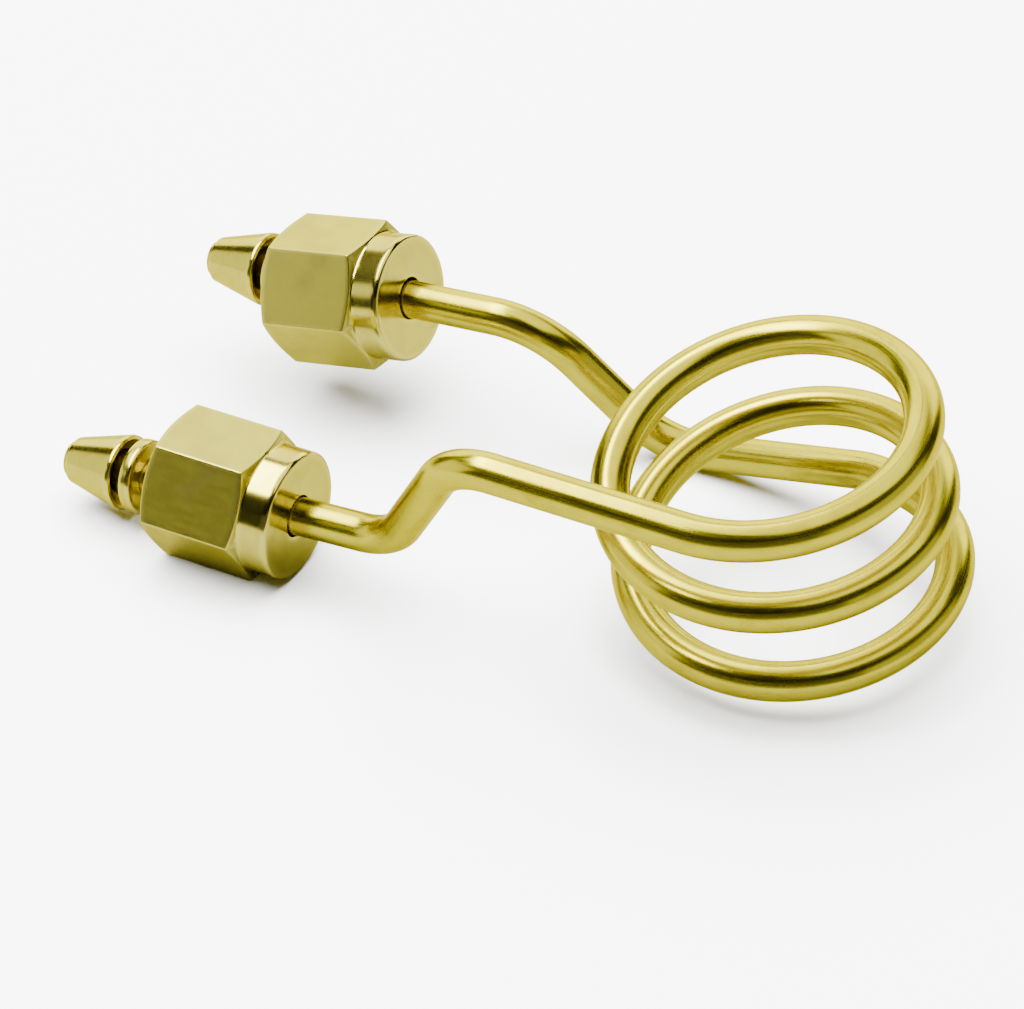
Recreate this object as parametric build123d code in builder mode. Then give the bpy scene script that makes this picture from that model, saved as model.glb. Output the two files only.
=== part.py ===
from build123d import *
import math
import os

# Small coiled brass tube with a loose twin-ferrule nut on each end.
# Millimetres, +Z up. The tube is laid out in its own frame (coil axis = Z, tube ends pointing
# to -X) and the finished pieces are then set down on the floor in the resting attitude.

# tube and coil
TUBE_OD = 3.175
TUBE_ID = 1.75
COIL_RADIUS = 12.6            # centre line of the tube
COIL_PITCH = 8.1
COIL_TOP_Z = 0.55             # centre line where the top turn begins
COIL_SWEEP = 880.0            # degrees of winding, from the top leg round to the bottom leg
TUBE_END_CHAMFER = 0.15

# legs: corner points of the centre line and the bend radii put on them
TOP_RUN = 19.7                # straight run off the top turn
TOP_CORNER = (-28.5, -12.15, -9.745)
TOP_FREE_END = (-59.4, -12.15, -9.425)
TOP_BENDS = [5.5, 6.0]
BOTTOM_RUN = 4.0
BOTTOM_LOW_CORNER = (-19.0, 12.9, -22.2)
BOTTOM_CORNER = (-27.4, 12.05, -9.1)
BOTTOM_FREE_END = (-59.55, 12.05, -9.4)
BOTTOM_BENDS = [9.0, 7.0, 8.0]

# nut (rim plane of the round collar at z = 0, threaded mouth towards -z)
NUT_AF = 11.0
HEX_LENGTH = 8.95
COLLAR_LENGTH = 2.6
COLLAR_DIAMETER = 10.66
HEX_CHAMFER_CIRCLE = 10.8
HEX_CHAMFER_ANGLE = 25.0      # degrees off the end face
HEX_CHAMFER_BULGE = 0.03      # the turned chamfer is a shade convex
BARREL_MARGIN = 0.2           # the profile that turns the chamfers stands this far off the corners
COLLAR_EDGE = 0.25
NUT_BORE = 3.5
BORE_LENGTH = 1.6
SEAT_LENGTH = 1.5
THREAD_MINOR = 6.9
THREAD_MAJOR = 8.0
RELIEF_LENGTH = 1.2
RELIEF_DIAMETER = 7.6
RELIEF_RUN_OUT = 0.35
CUT_MARGIN = 1.0              # how far the bore's profile runs past both end faces

# ferrules
FERRULE_BORE = 3.235
FRONT_BASE_DIAMETER = 6.3
FRONT_NOSE_DIAMETER = 3.85
FRONT_LENGTH = 5.15
FRONT_LAND = 0.35             # short parallel rim at the big end
SOCKET_DIAMETER = 5.7
SOCKET_LENGTH = 1.6
BACK_FLANGE_DIAMETER = 6.25
BACK_FLANGE_WIDTH = 1.2
BACK_FLANGE_EDGE = 0.15
BACK_NOSE_DIAMETER = 4.5
BACK_NOSE_TIP = 3.9
BACK_NOSE_LENGTH = 1.5
FERRULE_GAP = 0.85            # bare gap between the two ferrules
TUBE_PROTRUSION = 0.45        # tube showing past the front ferrule's nose

# where each nut sits: distance in from the tube's free end to the middle of the nut's bore
TOP_NUT_STATION = 21.26
BOTTOM_NUT_STATION = 18.87

# resting attitude: the tube frame is turned by these angles about X and Y
REST_TURN_X = 13.06
REST_TURN_Y = -5.53
REST_SHIFT = (21.34, -2.97, 21.18)

# each loose nut hangs cocked on its tube: direction of its own axis in the tube frame (degrees
# left of and above the tube's direction), and the turn of its hexagon about that axis
TOP_NUT_YAW = -0.2
TOP_NUT_RISE = -5.5
TOP_NUT_TURN = 17.0
BOTTOM_NUT_YAW = 2.25
BOTTOM_NUT_RISE = 5.95
BOTTOM_NUT_TURN = 14.9

os.makedirs("parts", exist_ok=True)

rest = Location(REST_SHIFT, (REST_TURN_X, REST_TURN_Y, 0))


def coil_point(angle_degrees):
    """Centre line of the coil; the winding starts at -90 degrees and sinks as the angle grows."""
    angle = math.radians(angle_degrees)
    drop = COIL_PITCH * (angle_degrees + 90) / 360
    return Vector(COIL_RADIUS * math.cos(angle), COIL_RADIUS * math.sin(angle), COIL_TOP_Z - drop)


def coil_tangent(angle_degrees):
    """Unit direction of the coil's centre line as the angle grows."""
    angle = math.radians(angle_degrees)
    slope = COIL_PITCH / (2 * math.pi)
    along = Vector(-COIL_RADIUS * math.sin(angle), COIL_RADIUS * math.cos(angle), -slope)
    return along.normalized()


# ---------------------------------------------------------------- tube centre line
coil_start = coil_point(-90)
coil_end = coil_point(COIL_SWEEP - 90)
top_turn_out = coil_start - coil_tangent(-90) * TOP_RUN
bottom_turn_out = coil_end + coil_tangent(COIL_SWEEP - 90) * BOTTOM_RUN
top_path = [TOP_FREE_END, TOP_CORNER, top_turn_out, coil_start]
bottom_path = [coil_end, bottom_turn_out, BOTTOM_LOW_CORNER, BOTTOM_CORNER, BOTTOM_FREE_END]


def end_plane(free_end, corner):
    """Plane across a free end of the tube, with z pointing in along it."""
    return Plane(origin=free_end, x_dir=(0, 1, 0), z_dir=Vector(*corner) - Vector(*free_end))


top_end = end_plane(TOP_FREE_END, TOP_CORNER)
bottom_end = end_plane(BOTTOM_FREE_END, BOTTOM_CORNER)

with BuildPart() as tube_blank:
    with BuildLine() as centre_line:
        FilletPolyline(*top_path, radius=TOP_BENDS)
        winding = Edge.make_helix(
            COIL_PITCH,
            COIL_PITCH * COIL_SWEEP / 360,
            COIL_RADIUS,
            center=(0, 0, coil_end.Z),
            lefthand=True,
        )
        add(winding.rotate(Axis.Z, COIL_SWEEP - 90))
        FilletPolyline(*bottom_path, radius=BOTTOM_BENDS)
    with BuildSketch(top_end):
        Circle(TUBE_OD / 2)
        Circle(TUBE_ID / 2, mode=Mode.SUBTRACT)
    sweep()
    free_ends = tube_blank.faces().filter_by(GeomType.PLANE)
    outer_rims = free_ends.edges().filter_by(lambda edge: edge.radius > (TUBE_OD + TUBE_ID) / 4)
    chamfer(outer_rims, length=TUBE_END_CHAMFER)

with BuildPart() as coil_tube:
    with Locations(rest):
        add(tube_blank.part)
coil_tube.part.label = "coil_tube"
export_step(coil_tube.part, "parts/coil_tube.step")

# ---------------------------------------------------------------- nut, drawn once
nut_length = HEX_LENGTH + COLLAR_LENGTH
mouth_seat = BORE_LENGTH + SEAT_LENGTH
chamfer_radius = HEX_CHAMFER_CIRCLE / 2
barrel_radius = NUT_AF / math.sqrt(3) + BARREL_MARGIN
chamfer_depth = (barrel_radius - chamfer_radius) * math.tan(math.radians(HEX_CHAMFER_ANGLE))

with BuildPart() as nut_blank:
    with BuildSketch(Plane.XY.offset(-nut_length)):
        RegularPolygon(NUT_AF / 2, 6, major_radius=False)
    extrude(amount=HEX_LENGTH)
    with BuildSketch(Plane.XZ):
        with BuildLine():
            Line((0, -nut_length), (chamfer_radius, -nut_length))
            SagittaArc(
                (chamfer_radius, -nut_length),
                (barrel_radius, -nut_length + chamfer_depth),
                -HEX_CHAMFER_BULGE,
            )
            Line(
                (barrel_radius, -nut_length + chamfer_depth),
                (barrel_radius, -COLLAR_LENGTH - chamfer_depth),
            )
            SagittaArc(
                (barrel_radius, -COLLAR_LENGTH - chamfer_depth),
                (chamfer_radius, -COLLAR_LENGTH),
                -HEX_CHAMFER_BULGE,
            )
            Line((chamfer_radius, -COLLAR_LENGTH), (0, -COLLAR_LENGTH))
            Line((0, -COLLAR_LENGTH), (0, -nut_length))
        make_face()
    revolve(axis=Axis.Z, mode=Mode.INTERSECT)
    with BuildSketch(Plane.XY.offset(-COLLAR_LENGTH)):
        Circle(COLLAR_DIAMETER / 2)
    extrude(amount=COLLAR_LENGTH)
    chamfer(nut_blank.faces().sort_by(Axis.Z)[-1].edges(), length=COLLAR_EDGE)
    with BuildSketch(Plane.XZ):
        with BuildLine():
            Polyline(
                (0, CUT_MARGIN),
                (NUT_BORE / 2, CUT_MARGIN),
                (NUT_BORE / 2, -BORE_LENGTH),
                (THREAD_MINOR / 2, -mouth_seat),
                (RELIEF_DIAMETER / 2, -mouth_seat),
                (RELIEF_DIAMETER / 2, -mouth_seat - RELIEF_LENGTH),
                (THREAD_MINOR / 2, -mouth_seat - RELIEF_LENGTH - RELIEF_RUN_OUT),
                (THREAD_MINOR / 2, -nut_length + (THREAD_MAJOR - THREAD_MINOR) / 2),
                (THREAD_MAJOR / 2, -nut_length),
                (THREAD_MAJOR / 2, -nut_length - CUT_MARGIN),
                (0, -nut_length - CUT_MARGIN),
                close=True,
            )
        make_face()
    revolve(axis=Axis.Z, mode=Mode.SUBTRACT)

# ---------------------------------------------------------------- ferrules, drawn once
# big end at z = 0, nose towards +z
with BuildPart() as front_blank:
    with BuildSketch(Plane.XZ):
        with BuildLine():
            Polyline(
                (FERRULE_BORE / 2, SOCKET_LENGTH),
                (FERRULE_BORE / 2, FRONT_LENGTH),
                (FRONT_NOSE_DIAMETER / 2, FRONT_LENGTH),
                (FRONT_BASE_DIAMETER / 2, FRONT_LAND),
                (FRONT_BASE_DIAMETER / 2, 0),
                (SOCKET_DIAMETER / 2, 0),
                close=True,
            )
        make_face()
    revolve(axis=Axis.Z)

# front face of the flange at z = 0, nose towards +z
with BuildPart() as back_blank:
    with BuildSketch(Plane.XZ):
        with BuildLine():
            Polyline(
                (FERRULE_BORE / 2, -BACK_FLANGE_WIDTH),
                (BACK_FLANGE_DIAMETER / 2 - BACK_FLANGE_EDGE, -BACK_FLANGE_WIDTH),
                (BACK_FLANGE_DIAMETER / 2, -BACK_FLANGE_WIDTH + BACK_FLANGE_EDGE),
                (BACK_FLANGE_DIAMETER / 2, -BACK_FLANGE_EDGE),
                (BACK_FLANGE_DIAMETER / 2 - BACK_FLANGE_EDGE, 0),
                (BACK_NOSE_DIAMETER / 2, 0),
                (BACK_NOSE_TIP / 2, BACK_NOSE_LENGTH),
                (FERRULE_BORE / 2, BACK_NOSE_LENGTH),
                close=True,
            )
        make_face()
    revolve(axis=Axis.Z)


def nut_seat(end, station, yaw, rise, turn):
    """Plane of a nut's rim: z along the nut's own axis, towards the coil, bore round the tube."""
    yaw, rise, turn = (math.radians(angle) for angle in (yaw, rise, turn))
    axis = Vector(math.cos(yaw) * math.cos(rise), math.sin(yaw) * math.cos(rise), math.sin(rise))
    across = Vector(0, 0, 1).cross(axis).normalized()
    upward = axis.cross(across)
    corner = upward * math.cos(turn) - across * math.sin(turn)
    bore_middle = end.offset(station).origin
    return Plane(origin=bore_middle + axis * BORE_LENGTH / 2, x_dir=corner, z_dir=axis)


top_seat = nut_seat(top_end, TOP_NUT_STATION, TOP_NUT_YAW, TOP_NUT_RISE, TOP_NUT_TURN)
bottom_seat = nut_seat(
    bottom_end, BOTTOM_NUT_STATION, BOTTOM_NUT_YAW, BOTTOM_NUT_RISE, BOTTOM_NUT_TURN
)
ends = {"top": (top_end, top_seat), "bottom": (bottom_end, bottom_seat)}

for end, (tube_end, seat) in ends.items():
    front_base = tube_end.offset(TUBE_PROTRUSION + FRONT_LENGTH)
    outward = Plane(origin=front_base.origin, x_dir=(0, 1, 0), z_dir=-front_base.z_dir)

    with BuildPart() as nut:
        with Locations(rest * seat.location):
            add(nut_blank.part)
    nut.part.label = f"{end}_nut"
    export_step(nut.part, f"parts/{end}_nut.step")

    with BuildPart() as back_ferrule:
        with Locations(rest * outward.offset(-FERRULE_GAP).location):
            add(back_blank.part)
    back_ferrule.part.label = f"{end}_back_ferrule"
    export_step(back_ferrule.part, f"parts/{end}_back_ferrule.step")

    with BuildPart() as front_ferrule:
        with Locations(rest * outward.location):
            add(front_blank.part)
    front_ferrule.part.label = f"{end}_front_ferrule"
    export_step(front_ferrule.part, f"parts/{end}_front_ferrule.step")
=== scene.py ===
import bpy
import math
from mathutils import Euler, Matrix, Vector


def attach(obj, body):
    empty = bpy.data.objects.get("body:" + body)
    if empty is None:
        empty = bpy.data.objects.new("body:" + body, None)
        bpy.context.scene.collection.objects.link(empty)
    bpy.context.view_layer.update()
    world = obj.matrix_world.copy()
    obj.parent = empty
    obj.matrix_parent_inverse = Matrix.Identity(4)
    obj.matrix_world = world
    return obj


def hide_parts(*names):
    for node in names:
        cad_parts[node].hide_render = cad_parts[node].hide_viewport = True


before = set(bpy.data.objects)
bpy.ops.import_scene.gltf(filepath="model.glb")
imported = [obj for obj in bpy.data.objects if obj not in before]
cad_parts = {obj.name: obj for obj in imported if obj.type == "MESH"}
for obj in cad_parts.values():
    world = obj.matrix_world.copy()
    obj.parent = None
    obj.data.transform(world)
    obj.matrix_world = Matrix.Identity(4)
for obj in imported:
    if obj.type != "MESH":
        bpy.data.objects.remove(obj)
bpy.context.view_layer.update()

# ------------------------------------------------------------------ dimensions, in millimetres
TUBE_OD = 3.175
TUBE_ID = 1.75
TUBE_LIP = 0.15               # rounding of the tube's mouths
TUBE_BORE_DEPTH = 12.0        # how far in the bore is modelled
COIL_RADIUS = 12.6
COIL_PITCH = 8.1
COIL_TOP_Z = 0.55
COIL_SWEEP = 880.0
TOP_RUN = 19.7
TOP_CORNER = (-28.5, -12.15, -9.745)
TOP_FREE_END = (-59.4, -12.15, -9.425)
TOP_BENDS = [5.5, 6.0]
BOTTOM_RUN = 4.0
BOTTOM_LOW_CORNER = (-19.0, 12.9, -22.2)
BOTTOM_CORNER = (-27.4, 12.05, -9.1)
BOTTOM_FREE_END = (-59.55, 12.05, -9.4)
BOTTOM_BENDS = [9.0, 7.0, 8.0]

NUT_AF = 11.0
HEX_LENGTH = 8.95
COLLAR_LENGTH = 2.6
COLLAR_DIAMETER = 10.66
HEX_CHAMFER_CIRCLE = 10.8
HEX_CHAMFER_ANGLE = 25.0
HEX_EDGE = 0.16               # rounding of the six long edges
NUT_BORE = 3.5
BORE_LENGTH = 1.6
SEAT_LENGTH = 1.5
RELIEF_LENGTH = 1.2
RELIEF_DIAMETER = 7.6
THREAD_MINOR = 6.95
THREAD_MAJOR = 7.95
THREAD_PITCH = 1.27
THREAD_V_HEIGHT = 1.35        # the V's full height and slope, as shares of the thread's depth
THREAD_V_SLOPE = 3.4
THREAD_STEPS = 70

FERRULE_BORE = 3.235
FRONT_BASE_DIAMETER = 6.3
FRONT_NOSE_DIAMETER = 3.85
FRONT_LENGTH = 5.15
FRONT_LAND = 0.35
SOCKET_DIAMETER = 5.7
SOCKET_LENGTH = 1.6
BACK_FLANGE_DIAMETER = 6.25
BACK_FLANGE_WIDTH = 1.2
BACK_NOSE_DIAMETER = 4.5
BACK_NOSE_TIP = 3.9
BACK_NOSE_LENGTH = 1.5
FERRULE_GAP = 0.85
TUBE_PROTRUSION = 0.45

TOP_NUT = dict(station=21.26, yaw=-0.2, rise=-5.5, turn=17.0)
BOTTOM_NUT = dict(station=18.87, yaw=2.25, rise=5.95, turn=14.9)

REST = (
    Matrix.Translation(Vector((21.34, -2.97, 21.18)) * 0.001)
    @ Euler((math.radians(13.06), 0, 0)).to_matrix().to_4x4()
    @ Euler((0, math.radians(-5.53), 0)).to_matrix().to_4x4()
)
MM = 0.001

# how finely the shapes are divided
AROUND_TUBE = 48
AROUND_FERRULE = 120
TUBE_STEP = 0.3
WINDING_STEPS = 600
CORNER_OFFSETS = (-2.4, -0.75, -0.6, -0.4, -0.2, 0, 0.2, 0.4, 0.6, 0.75, 2.4)  # degrees
ROUNDED_WITHIN = 1.0          # degrees off a corner of the hexagon
FLAT_STEPS = 17
RING_GRAIN = 4.0              # radius that the grain has in the direction round a turned piece


# ------------------------------------------------------------------ mesh helpers
def new_object(name, shape, matrix, node):
    """A smooth piece that stands for a CAD node, its shape given in millimetres in its own frame."""
    mesh = bpy.data.meshes.new(name)
    mesh.from_pydata([matrix @ (Vector(v) * MM) for v in shape["vertices"]], [], shape["faces"])
    mesh.attributes.new("grain", "FLOAT_VECTOR", "POINT")
    mesh.attributes.new("wear", "FLOAT", "POINT")
    flat_grain = [number for vector in shape["grain"] for number in vector]
    mesh.attributes["grain"].data.foreach_set("vector", flat_grain)
    mesh.attributes["wear"].data.foreach_set("value", shape["wear"])
    if "material" in shape:
        mesh.polygons.foreach_set("material_index", shape["material"])
    mesh.update()
    piece = bpy.data.objects.new(name, mesh)
    bpy.context.scene.collection.objects.link(piece)
    mesh.shade_smooth()
    normals = piece.modifiers.new("flat faces stay flat", "WEIGHTED_NORMAL")
    normals.mode = "FACE_AREA"
    normals.weight = 100
    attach(piece, node)
    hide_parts(node)
    return piece


def rounded(corners, closed=True):
    """Points (x, y, wear) of a flat outline whose corners (x, y, radius) become small arcs."""
    points = []
    count = len(corners)
    for i in range(count):
        x, y, radius = corners[i]
        here = Vector((x, y))
        if radius == 0 or (not closed and i in (0, count - 1)):
            points.append((x, y, 0))
            continue
        before = (Vector(corners[i - 1][:2]) - here).normalized()
        after = (Vector(corners[(i + 1) % count][:2]) - here).normalized()
        half = before.angle(after) / 2
        reach = radius / math.tan(half)
        centre = here + (before + after).normalized() * radius / math.sin(half)
        start = here + before * reach - centre
        end = here + after * reach - centre
        for step in range(4):
            spoke = start.lerp(end, step / 3).normalized() * radius
            points.append((centre.x + spoke.x, centre.y + spoke.y, 1))
    return points


def cuts_for(outline, longest):
    """How many pieces each span of a closed outline is cut into."""
    following = outline[1:] + outline[:1]
    return [
        max(1, math.ceil(math.hypot(nx - x, ny - y) / longest - 0.001))
        for (x, y, _), (nx, ny, _) in zip(outline, following)
    ]


def divided(outline, cuts):
    """A closed outline with its long straight spans cut up, so that wear fades off the corners."""
    fine = []
    for (x, y, edge), (nx, ny, _), pieces in zip(outline, outline[1:] + outline[:1], cuts):
        fine.append((x, y, edge))
        fine += [(x + (nx - x) * k / pieces, y + (ny - y) * k / pieces, 0) for k in range(1, pieces)]
    return fine


def path_lengths(outline):
    """Distance along an outline to each of its points."""
    lengths = [0.0]
    for (x, y, _), (nx, ny, _) in zip(outline, outline[1:]):
        lengths.append(lengths[-1] + math.hypot(nx - x, ny - y))
    return lengths


def turned(outlines, angles):
    """Closed (radius, height, wear) outlines, one for each angle about Z, joined into a ring."""
    shape = {"vertices": [], "faces": [], "grain": [], "wear": []}
    width = len(outlines[0])
    for outline, angle in zip(outlines, angles):
        for (r, z, edge), along in zip(outline, path_lengths(outline)):
            shape["vertices"].append((r * math.cos(angle), r * math.sin(angle), z))
            ring = (RING_GRAIN * math.cos(angle), RING_GRAIN * math.sin(angle))
            shape["grain"].append((*ring, along))
            shape["wear"].append(edge)
    for s in range(len(angles)):
        a = s * width
        b = ((s + 1) % len(angles)) * width
        for p in range(width):
            q = (p + 1) % width
            shape["faces"].append((a + p, b + p, b + q, a + q))
    return shape


# ------------------------------------------------------------------ tube
def coil_point(degrees):
    angle = math.radians(degrees)
    drop = COIL_PITCH * (degrees + 90) / 360
    return Vector((COIL_RADIUS * math.cos(angle), COIL_RADIUS * math.sin(angle), COIL_TOP_Z - drop))


def coil_tangent(degrees):
    angle = math.radians(degrees)
    slope = COIL_PITCH / (2 * math.pi)
    return Vector((-COIL_RADIUS * math.sin(angle), COIL_RADIUS * math.cos(angle), -slope)).normalized()


def bent_line(corners, radii, step=TUBE_STEP):
    """Points every step or so along arcs, and every second step along the straight runs."""
    points = []
    last = Vector(corners[0])
    for i in range(1, len(corners) - 1):
        here = Vector(corners[i])
        before = (Vector(corners[i - 1]) - here).normalized()
        after = (Vector(corners[i + 1]) - here).normalized()
        half = before.angle(after) / 2
        reach = radii[i - 1] / math.tan(half)
        centre = here + (before + after).normalized() * radii[i - 1] / math.sin(half)
        start = here + before * reach
        end = here + after * reach
        runs = max(1, round((start - last).length / (step * 2)))
        points += [last.lerp(start, k / runs) for k in range(runs)]
        turn = math.pi - 2 * half
        arcs = max(2, round(radii[i - 1] * turn / step))
        across = (start - centre).normalized()
        along = (end - centre).normalized()
        for k in range(arcs):
            share = k / arcs
            spoke = across * math.sin((1 - share) * turn) + along * math.sin(share * turn)
            points.append(centre + spoke / math.sin(turn) * radii[i - 1])
        last = end
    end = Vector(corners[-1])
    runs = max(1, round((end - last).length / (step * 2)))
    points += [last.lerp(end, k / runs) for k in range(runs)]
    return points


coil_start = coil_point(-90)
coil_end = coil_point(COIL_SWEEP - 90)
top_turn_out = coil_start - coil_tangent(-90) * TOP_RUN
bottom_turn_out = coil_end + coil_tangent(COIL_SWEEP - 90) * BOTTOM_RUN
top_line = bent_line([TOP_FREE_END, TOP_CORNER, top_turn_out, coil_start], TOP_BENDS)
winding = [coil_point(-90 + COIL_SWEEP * k / WINDING_STEPS) for k in range(WINDING_STEPS)]
bottom_line = bent_line(
    [coil_end, bottom_turn_out, BOTTOM_LOW_CORNER, BOTTOM_CORNER, BOTTOM_FREE_END], BOTTOM_BENDS
)
centre_line = top_line + winding + bottom_line + [Vector(BOTTOM_FREE_END)]


def swept_tube(line, around=AROUND_TUBE):
    """The tube's skin along its centre line, rounded over at both mouths and open inside."""
    tangents = []
    for i in range(len(line)):
        ahead = line[min(i + 1, len(line) - 1)]
        behind = line[max(i - 1, 0)]
        tangents.append((ahead - behind).normalized())
    side = tangents[0].cross(Vector((0, 0, 1))).normalized()
    sides = []
    for tangent in tangents:
        side = (side - tangent * side.dot(tangent)).normalized()
        sides.append(side)
    outer = TUBE_OD / 2
    inner = TUBE_ID / 2
    lip = TUBE_LIP
    # (index on the line, shift along it, radius) of each ring, from deep in one mouth to the other
    rings = [(0, TUBE_BORE_DEPTH, inner), (0, lip, inner)]
    rings += [(0, lip * 0.3, inner + lip * 0.3), (0, 0, inner + lip)]
    rings += [(0, 0, outer - lip), (0, lip * 0.3, outer - lip * 0.3), (0, lip, outer)]
    rings += [(i, 0, outer) for i in range(1, len(line) - 1)]
    last = len(line) - 1
    rings += [(last, -shift, radius) for index, shift, radius in reversed(rings[:7])]
    shape = {"vertices": [], "faces": [], "grain": [], "wear": []}
    station = 0.0
    previous = line[0]
    for index, shift, radius in rings:
        tangent = tangents[index]
        u = sides[index]
        v = tangent.cross(u)
        centre = line[index] + tangent * shift
        station += (line[index] - previous).length
        previous = line[index]
        for k in range(around):
            angle = 2 * math.pi * k / around
            shape["vertices"].append(centre + (u * math.cos(angle) + v * math.sin(angle)) * radius)
            shape["grain"].append((outer * math.cos(angle), outer * math.sin(angle), station))
            shape["wear"].append(1 if inner < radius < outer else 0)
    for ring in range(len(rings) - 1):
        for k in range(around):
            a = ring * around + k
            b = ring * around + (k + 1) % around
            shape["faces"].append((a, b, b + around, a + around))
    return shape


tube = new_object("brass_coil", swept_tube(centre_line), REST, "coil_tube")


# ------------------------------------------------------------------ nut
nut_length = HEX_LENGTH + COLLAR_LENGTH
mouth_seat = BORE_LENGTH + SEAT_LENGTH


def hex_radius(angle):
    """Distance from the axis to the rounded hexagon, corners at 0, 60, 120 ... degrees."""
    off = math.radians((math.degrees(angle) + 30) % 60 - 30)
    half_side = math.radians(30)
    apothem = NUT_AF / 2
    centre = (apothem - HEX_EDGE) / math.cos(half_side)
    sideways = centre * math.sin(off)
    if abs(sideways) < HEX_EDGE * math.sin(half_side):
        return centre * math.cos(off) + math.sqrt(HEX_EDGE**2 - sideways**2)
    return apothem / math.cos(half_side - abs(off))


def thread_radius(angle, z):
    """Wall of the threaded mouth: a V cut off flat at its root and crest."""
    phase = (z / THREAD_PITCH + angle / (2 * math.pi)) % 1
    depth = (THREAD_MAJOR - THREAD_MINOR) / 2
    wave = min(1, max(0, THREAD_V_HEIGHT - abs(phase - 0.5) * THREAD_V_SLOPE))
    return THREAD_MINOR / 2 + depth * wave


def nut_outline(angle):
    """Closed (radius, height) outline of the nut at one angle; every angle has as many points."""
    wide = hex_radius(angle)
    circle = HEX_CHAMFER_CIRCLE / 2
    rise = (wide - circle) * math.tan(math.radians(HEX_CHAMFER_ANGLE))
    collar = COLLAR_DIAMETER / 2
    front = -nut_length
    back = -COLLAR_LENGTH
    corners = [
        (THREAD_MAJOR / 2 + 0.15, front, 0.05),
        (circle, front, 0.1),
        (wide, front + rise + 0.02, 0.12),
        (wide, back - rise - 0.02, 0.12),
        (collar + 0.02, back - 0.03, 0.02),
        (collar, back + 0.1, 0.02),
        (collar, 0, 0.28),
        (NUT_BORE / 2, 0, 0.12),
        (NUT_BORE / 2, -BORE_LENGTH, 0.05),
        (THREAD_MINOR / 2, -mouth_seat, 0.05),
        (RELIEF_DIAMETER / 2, -mouth_seat - 0.02, 0.05),
        (RELIEF_DIAMETER / 2, -mouth_seat - RELIEF_LENGTH, 0.05),
    ]
    outline = rounded(corners, closed=False)
    start = -mouth_seat - RELIEF_LENGTH - 0.3
    end = front + 0.45
    for k in range(THREAD_STEPS + 1):
        z = start + (end - start) * k / THREAD_STEPS
        outline.append((thread_radius(angle, z), z, 0))
    return outline


def nut_mesh():
    """One nut; faces between the two chamfers are drawn bar, all others are turned."""
    angles = []
    on_corner = []
    past_corner = CORNER_OFFSETS[-1]
    between = 60 - 2 * past_corner
    for corner in range(0, 360, 60):
        for off in CORNER_OFFSETS:
            angles.append(math.radians(corner + off))
            on_corner.append(1 if abs(off) < ROUNDED_WITHIN else 0)
        for k in range(1, FLAT_STEPS):
            angles.append(math.radians(corner + past_corner + between * k / FLAT_STEPS))
            on_corner.append(0)
    outlines = [nut_outline(angle) for angle in angles]
    cuts = cuts_for(outlines[0], 0.4)
    shape = turned([divided(outline, cuts) for outline in outlines], angles)
    points_around = len(shape["vertices"]) // len(angles)
    for index, (x, y, z) in enumerate(shape["vertices"]):
        if math.hypot(x, y) > COLLAR_DIAMETER / 2 + 0.1:
            shape["wear"][index] = max(shape["wear"][index], on_corner[index // points_around])
    shape["material"] = []
    for face in shape["faces"]:
        middle = sum((Vector(shape["vertices"][v]) for v in face), Vector()) / 4
        on_bar = middle.xy.length > NUT_AF / 2 - 0.02 and middle.z < -COLLAR_LENGTH
        shape["material"].append(0 if on_bar else 1)
    return shape


def frame_of(origin, x_axis, z_axis):
    """Matrix of a frame given in millimetres by its origin and two of its axes."""
    rows = Matrix((x_axis, z_axis.cross(x_axis), z_axis)).transposed().to_4x4()
    return Matrix.Translation(origin * MM) @ rows


def nut_seat(free_end, inward, station, yaw, rise, turn):
    """Rim frame of a nut: z along its own axis towards the coil, x towards a corner."""
    yaw, rise, turn = (math.radians(angle) for angle in (yaw, rise, turn))
    axis = Vector((math.cos(yaw) * math.cos(rise), math.sin(yaw) * math.cos(rise), math.sin(rise)))
    across = Vector((0, 0, 1)).cross(axis).normalized()
    upward = axis.cross(across)
    corner = upward * math.cos(turn) - across * math.sin(turn)
    return frame_of(free_end + inward * station + axis * BORE_LENGTH / 2, corner, axis)


# ------------------------------------------------------------------ ferrules
def ring_of(corners, steps=AROUND_FERRULE):
    """A lathe-turned ring from the (radius, height, rounding) corners of its outline."""
    outline = rounded(corners)
    outline = divided(outline, cuts_for(outline, 0.3))
    angles = [2 * math.pi * s / steps for s in range(steps)]
    return turned([outline] * steps, angles)


front_ring = ring_of(
    [
        (FERRULE_BORE / 2, SOCKET_LENGTH, 0.02),
        (FERRULE_BORE / 2, FRONT_LENGTH, 0.05),
        (FRONT_NOSE_DIAMETER / 2, FRONT_LENGTH, 0.16),
        (FRONT_BASE_DIAMETER / 2, FRONT_LAND, 0.12),
        (FRONT_BASE_DIAMETER / 2, 0, 0.1),
        (SOCKET_DIAMETER / 2, 0, 0.05),
    ]
)
back_ring = ring_of(
    [
        (FERRULE_BORE / 2, -BACK_FLANGE_WIDTH, 0.08),
        (BACK_FLANGE_DIAMETER / 2, -BACK_FLANGE_WIDTH, 0.28),
        (BACK_FLANGE_DIAMETER / 2, 0, 0.28),
        (BACK_NOSE_DIAMETER / 2, 0, 0.05),
        (BACK_NOSE_TIP / 2, BACK_NOSE_LENGTH, 0.08),
        (FERRULE_BORE / 2, BACK_NOSE_LENGTH, 0.05),
    ]
)

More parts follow.
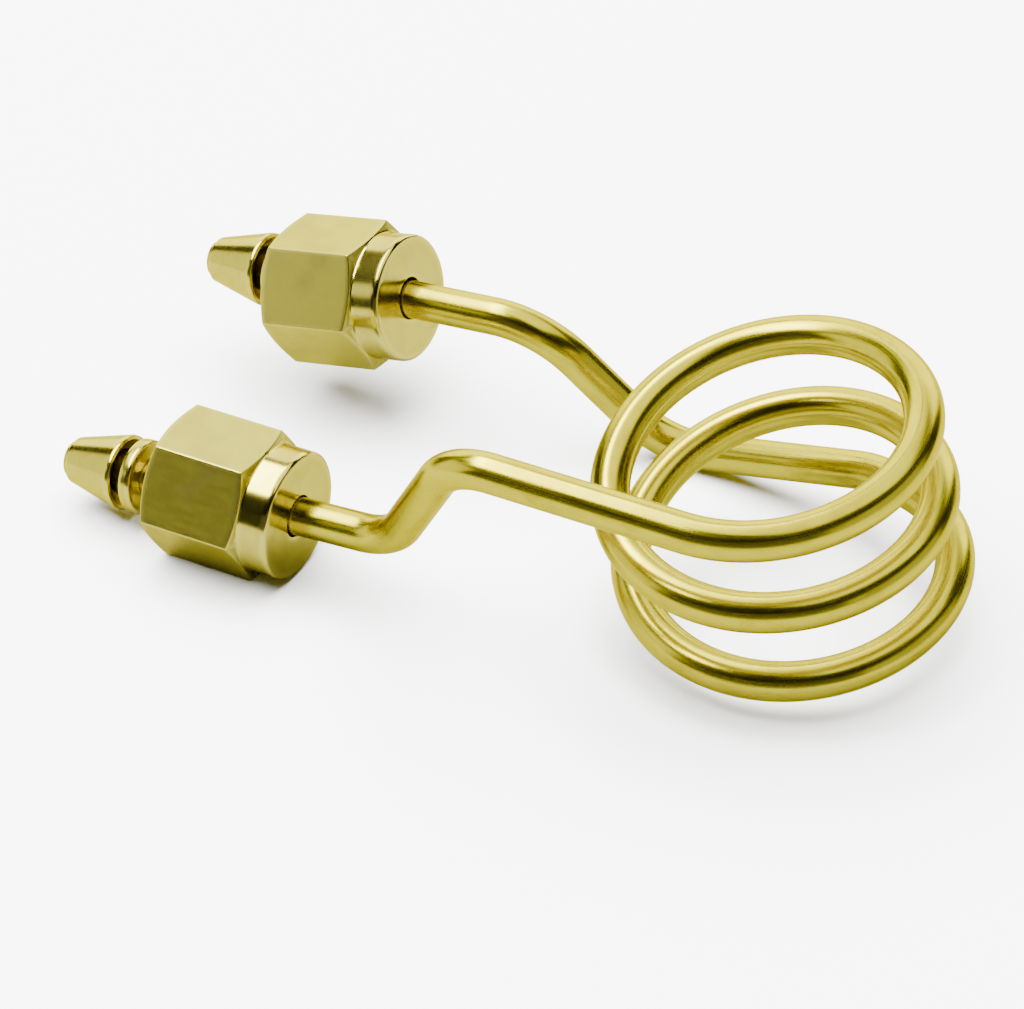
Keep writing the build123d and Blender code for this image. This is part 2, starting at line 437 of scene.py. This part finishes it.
ends = [
    ("top", TOP_FREE_END, TOP_CORNER, TOP_NUT),
    ("bottom", BOTTOM_FREE_END, BOTTOM_CORNER, BOTTOM_NUT),
]
nuts = []
ferrules = []
nut_shape = nut_mesh()
for end, free_end, corner, attitude in ends:
    free_end = Vector(free_end)
    inward = (Vector(corner) - free_end).normalized()
    seat = REST @ nut_seat(free_end, inward, **attitude)
    nuts.append(new_object(f"{end}_brass_nut", nut_shape, seat, f"{end}_nut"))
    base_middle = free_end + inward * (TUBE_PROTRUSION + FRONT_LENGTH)
    base = REST @ frame_of(base_middle, Vector((0, 1, 0)), -inward)
    ring = base @ Matrix.Translation((0, 0, -FERRULE_GAP * MM))
    for kind, shape, place in (("front", front_ring, base), ("back", back_ring, ring)):
        node = f"{end}_{kind}_ferrule"
        ferrules.append(new_object(f"{node}_brass", shape, place, node))


# ------------------------------------------------------------------ brass
class Nodes:
    """Short ways to add and link the nodes of one metallic material."""

    def __init__(self, name):
        self.material = bpy.data.materials.new(name)
        self.material.use_nodes = True
        self.tree = self.material.node_tree
        self.shader = self.tree.nodes["Principled BSDF"]

    def add(self, kind, inputs=None, **settings):
        """A new node with its settings, and its inputs set to numbers or linked to sockets."""
        node = self.tree.nodes.new(kind)
        for key, value in settings.items():
            setattr(node, key, value)
        for key, value in (inputs or {}).items():
            self.feed(node.inputs[key], value)
        return node

    def feed(self, socket, value):
        if isinstance(value, bpy.types.NodeSocket):
            self.tree.links.new(value, socket)
        else:
            socket.default_value = value

    def attribute(self, name, output):
        return self.add("ShaderNodeAttribute", attribute_name=name).outputs[output]

    def noise(self, grain, stretch, detail=3.0, rough=0.55):
        """Noise from 0 to 1 over the grain, with so many waves a millimetre along each direction."""
        placed = self.add("ShaderNodeMapping", {"Vector": grain, "Scale": stretch}).outputs["Vector"]
        texture = self.add("ShaderNodeTexNoise", {"Vector": placed, "Scale": 1.0})
        texture.inputs["Detail"].default_value = detail
        texture.inputs["Roughness"].default_value = rough
        return texture.outputs["Fac"]

    def ranged(self, value, low, high, to_low, to_high):
        """The value mapped from low..high to to_low..to_high, and held there."""
        node = self.add("ShaderNodeMapRange", {"Value": value, "From Min": low, "From Max": high})
        node.inputs["To Min"].default_value = to_low
        node.inputs["To Max"].default_value = to_high
        return node.outputs["Result"]

    def maths(self, operation, first, second):
        node = self.add("ShaderNodeMath", operation=operation)
        self.feed(node.inputs[0], first)
        self.feed(node.inputs[1], second)
        return node.outputs["Value"]

    def mixed(self, factor, first, second):
        node = self.add("ShaderNodeMix", data_type="RGBA")
        self.feed(node.inputs["Factor"], factor)
        self.feed(node.inputs["A"], first)
        self.feed(node.inputs["B"], second)
        return node.outputs["Result"]


def brass(name, colour, dull, roughness, spread, marks, mark_depth, patch, patch_depth):
    """Brass with tool marks, soft patches of handling tarnish, and brighter worn edges.

    spread is the share by which the marks vary the roughness; marks and patch are waves a
    millimetre along each direction of the grain; the depths are in millimetres.
    """
    nodes = Nodes(name)
    grain = nodes.attribute("grain", "Vector")
    wear = nodes.attribute("wear", "Fac")
    lines = nodes.noise(grain, marks, detail=2.0)
    patches = nodes.noise(grain, patch, detail=4.0)
    cloud = nodes.noise(grain, (0.16, 0.16, 0.16), detail=2.0)
    clouded = nodes.ranged(cloud, 0.3, 0.7, 0.15, 1)
    tarnish = nodes.maths("MULTIPLY", nodes.ranged(patches, 0.42, 0.62, 0, 1), clouded)
    tinted = nodes.mixed(tarnish, (*colour, 1), (*dull, 1))
    bright = tuple(min(1, channel * 1.25 + 0.02) for channel in colour)
    finished = nodes.mixed(nodes.maths("MULTIPLY", wear, 0.6), tinted, (*bright, 1))
    nodes.feed(nodes.shader.inputs["Base Color"], finished)
    matt = nodes.ranged(lines, 0.3, 0.7, roughness * (1 - spread), roughness * (1 + spread))
    matt = nodes.maths("ADD", matt, nodes.maths("MULTIPLY", tarnish, roughness * spread))
    matt = nodes.maths("SUBTRACT", matt, nodes.maths("MULTIPLY", wear, roughness * 0.1))
    nodes.feed(nodes.shader.inputs["Roughness"], matt)
    nodes.shader.inputs["Metallic"].default_value = 1.0
    nodes.shader.inputs["Specular Tint"].default_value = (1.0, 0.9, 0.4, 1)
    soft = nodes.add("ShaderNodeBump", {"Height": patches})
    soft.inputs["Distance"].default_value = patch_depth * MM
    fine = nodes.add("ShaderNodeBump", {"Height": lines, "Normal": soft.outputs["Normal"]})
    fine.inputs["Distance"].default_value = mark_depth * MM
    nodes.feed(nodes.shader.inputs["Normal"], fine.outputs["Normal"])
    return nodes.material


tube_brass = brass(
    name="drawn_tube_brass",
    colour=(0.62, 0.535, 0.02),
    dull=(0.50, 0.415, 0.012),
    roughness=0.23,
    spread=0.2,
    marks=(7, 7, 0.12),
    mark_depth=0.0003,
    patch=(0.9, 0.9, 0.35),
    patch_depth=0.0015,
)
bar_brass = brass(
    name="drawn_bar_brass",
    colour=(0.53, 0.475, 0.06),
    dull=(0.42, 0.37, 0.06),
    roughness=0.33,
    spread=0.08,
    marks=(6, 6, 0.5),
    mark_depth=0.00005,
    patch=(0.5, 0.5, 0.35),
    patch_depth=0.0001,
)
turned_brass = brass(
    name="turned_nut_brass",
    colour=(0.58, 0.51, 0.07),
    dull=(0.48, 0.41, 0.055),
    roughness=0.16,
    spread=0.1,
    marks=(0.25, 0.25, 9),
    mark_depth=0.0001,
    patch=(0.5, 0.5, 0.8),
    patch_depth=0.0005,
)
ferrule_brass = brass(
    name="turned_ferrule_brass",
    colour=(0.59, 0.515, 0.055),
    dull=(0.50, 0.42, 0.045),
    roughness=0.2,
    spread=0.2,
    marks=(0.3, 0.3, 8),
    mark_depth=0.0004,
    patch=(0.5, 0.5, 1.0),
    patch_depth=0.001,
)
tube.data.materials.append(tube_brass)
for nut in nuts:
    nut.data.materials.append(bar_brass)
    nut.data.materials.append(turned_brass)
for ferrule in ferrules:
    ferrule.data.materials.append(ferrule_brass)


# ------------------------------------------------------------------ floor, light and camera
PAPER_HALF = 0.8              # metres, as are all the places and sizes below


def paper(name, brightness, height):
    """A square of matt paper that casts no shadow of its own."""
    material = bpy.data.materials.new(name)
    material.use_nodes = True
    shader = material.node_tree.nodes["Principled BSDF"]
    shader.inputs["Base Color"].default_value = (brightness, brightness, brightness, 1)
    shader.inputs["Roughness"].default_value = 0.8
    shader.inputs["Specular IOR Level"].default_value = 0.2
    mesh = bpy.data.meshes.new(name)
    corners = [(x * PAPER_HALF, y * PAPER_HALF, height) for x, y in ((-1, -1), (1, -1), (1, 1), (-1, 1))]
    mesh.from_pydata(corners, [], [(0, 1, 2, 3)])
    mesh.materials.append(material)
    sheet = bpy.data.objects.new(name, mesh)
    sheet.visible_shadow = False
    bpy.context.scene.collection.objects.link(sheet)
    return sheet


# The camera sees brightly lit white paper; the brass mirrors a greyer sheet just below it, as
# light paper would otherwise wash out every face that looks down.
floor = paper("floor_white", 0.9, 0)
floor.visible_glossy = False
mirrored_floor = paper("floor_mirrored", 0.63, -0.0002)
mirrored_floor.visible_camera = False
paper_only = bpy.data.collections.new("paper_only")
paper_only.objects.link(floor)
all_but_paper = bpy.data.collections.new("all_but_paper")
all_but_paper.objects.link(floor)
all_but_paper.collection_objects[0].light_linking.link_state = "EXCLUDE"


def softbox(name, place, size, radiance, lights=all_but_paper):
    """A rectangular lamp of even brightness that faces the object and is not itself in view."""
    data = bpy.data.lights.new(name, "AREA")
    data.shape = "RECTANGLE"
    data.size, data.size_y = size
    data.energy = radiance * math.pi * size[0] * size[1]
    light = bpy.data.objects.new(name, data)
    light.location = place
    light.rotation_euler = (-Vector(place)).to_track_quat("-Z", "Y").to_euler()
    light.visible_camera = False
    bpy.context.scene.collection.objects.link(light)
    if lights:
        light.light_linking.receiver_collection = lights


softbox("overhead", (0.05, 0.16, 1.0), (1.2, 1.1), 2.2, lights=None)
softbox("strip", (-0.42, 0.0, 0.76), (0.9, 0.22), 17)
softbox("behind", (-0.45, 1.0, 0.45), (2.0, 0.85), 3.5)
softbox("left", (-0.91, -0.42, 0.3), (0.9, 0.6), 1.6)
softbox("front_fill", (0.4, -1.1, 0.3), (2.4, 0.7), 0.12)
softbox("right_fill", (1.2, 0.1, 0.3), (1.6, 0.6), 0.7)
softbox("paper_lamp", (-0.2, 0.1, 1.0), (1.5, 1.3), 24, lights=paper_only)

# white above the far edge of the paper; it neither lights the object nor shows in the brass
world = bpy.data.worlds.new("studio")
bpy.context.scene.world = world
world.use_nodes = True
world.node_tree.nodes["Background"].inputs["Color"].default_value = (1, 1, 1, 1)
world.node_tree.nodes["Background"].inputs["Strength"].default_value = 6.0
world.cycles_visibility.glossy = False
world.cycles_visibility.diffuse = False

camera_data = bpy.data.cameras.new("camera")
camera_data.sensor_width = 36
camera_data.lens = 146.85
camera_data.clip_start = 0.01
camera = bpy.data.objects.new("camera", camera_data)
camera.location = (0.13056, -0.23423, 0.21049)
camera.rotation_euler = [math.radians(angle) for angle in (52.341, 1.599, 28.254)]
bpy.context.scene.collection.objects.link(camera)
bpy.context.scene.camera = camera
